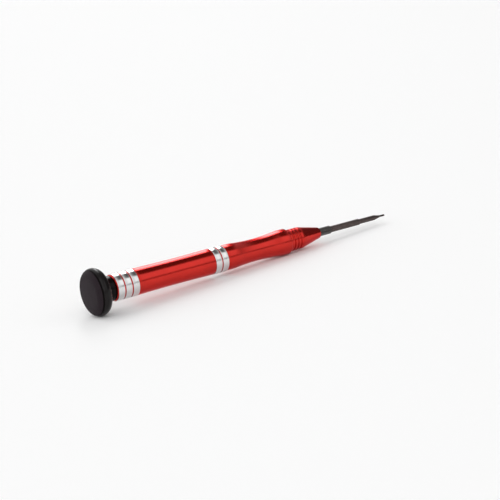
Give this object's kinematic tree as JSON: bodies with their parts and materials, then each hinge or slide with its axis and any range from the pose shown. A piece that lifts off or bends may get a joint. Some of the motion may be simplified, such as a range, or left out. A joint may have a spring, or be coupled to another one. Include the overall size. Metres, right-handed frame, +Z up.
{
  "type": "pocket screwdriver",
  "caption": "Slim precision screwdriver: anodised handle with bright rings and a finger waist, a free-turning palm cap, and a collet chuck holding a fine stepped star-point blade.",
  "frame": {"origin": "on the floor, midway along the tool as it lies at rest on its cap rim and its flange", "axes": "+X along the tool towards the blade, +Z up; the tool's own axis dips a few degrees towards the blade"},
  "size_m": [0.135, 0.0172, 0.0173],
  "materials": {
    "red_anodised": "red anodised, fine turned, satin gloss",
    "bright_aluminium": "bright turned",
    "black_cap": "black, moulded, glossy rim",
    "face_disc": "dark grey, fine matte",
    "bearing_steel": "ground",
    "brass": "stamped",
    "screw_steel": "plated",
    "collet_steel": "dark phosphated",
    "blade_steel": "brown-black oxide"
  },
  "bodies": {
    "handle": {"rear_barrel": "red_anodised", "rear_ring_1": "bright_aluminium", "rear_ring_2": "bright_aluminium", "rear_ring_3": "bright_aluminium", "middle_ring_1": "bright_aluminium", "middle_ring_2": "bright_aluminium", "front_grip": "red_anodised", "pivot_screw": "screw_steel", "spacer_washer": "brass", "bearing_inner_ring": "bearing_steel"},
    "cap": {"swivel_cap": "black_cap", "cap_face_disc": "face_disc", "bearing_outer_ring": "bearing_steel", "bearing_rear_shield": "bearing_steel", "bearing_front_shield": "bearing_steel"},
    "ball_cage": {"bearing_balls": "bearing_steel", "bearing_cage": "brass"},
    "collet": {"collet": "collet_steel"},
    "chuck": {"chuck_nut": "red_anodised"},
    "blade": {"blade": "blade_steel"}
  },
  "joints": [
    {"name": "cap_spin", "type": "hinge", "parent": "handle", "child": "cap", "pos_m": [-0.06021, 0, 0.00847], "axis": [0.999, 0, -0.0446], "continuous": true},
    {"name": "cage_orbit", "type": "hinge", "parent": "handle", "child": "ball_cage", "pos_m": [-0.06021, 0, 0.00847], "axis": [0.999, 0, -0.0446], "continuous": true},
    {"name": "collet_slide", "type": "slide", "parent": "handle", "child": "collet", "axis": [0.999, 0, -0.0446], "range_m": [0, 0.001]},
    {"name": "nut_turn", "type": "hinge", "parent": "collet", "child": "chuck", "pos_m": [0.02351, 0, 0.00473], "axis": [0.999, 0, -0.0446], "range_deg": [0, 720]},
    {"name": "blade_pull", "type": "slide", "parent": "collet", "child": "blade", "axis": [0.999, 0, -0.0446], "range_m": [0, 0.0225]}
  ],
  "couplings": [
    {"joint": "cage_orbit", "follows": "cap_spin", "ratio": 0.6},
    {"joint": "nut_turn", "follows": "collet_slide", "rad_per_m": 12566}
  ]
}
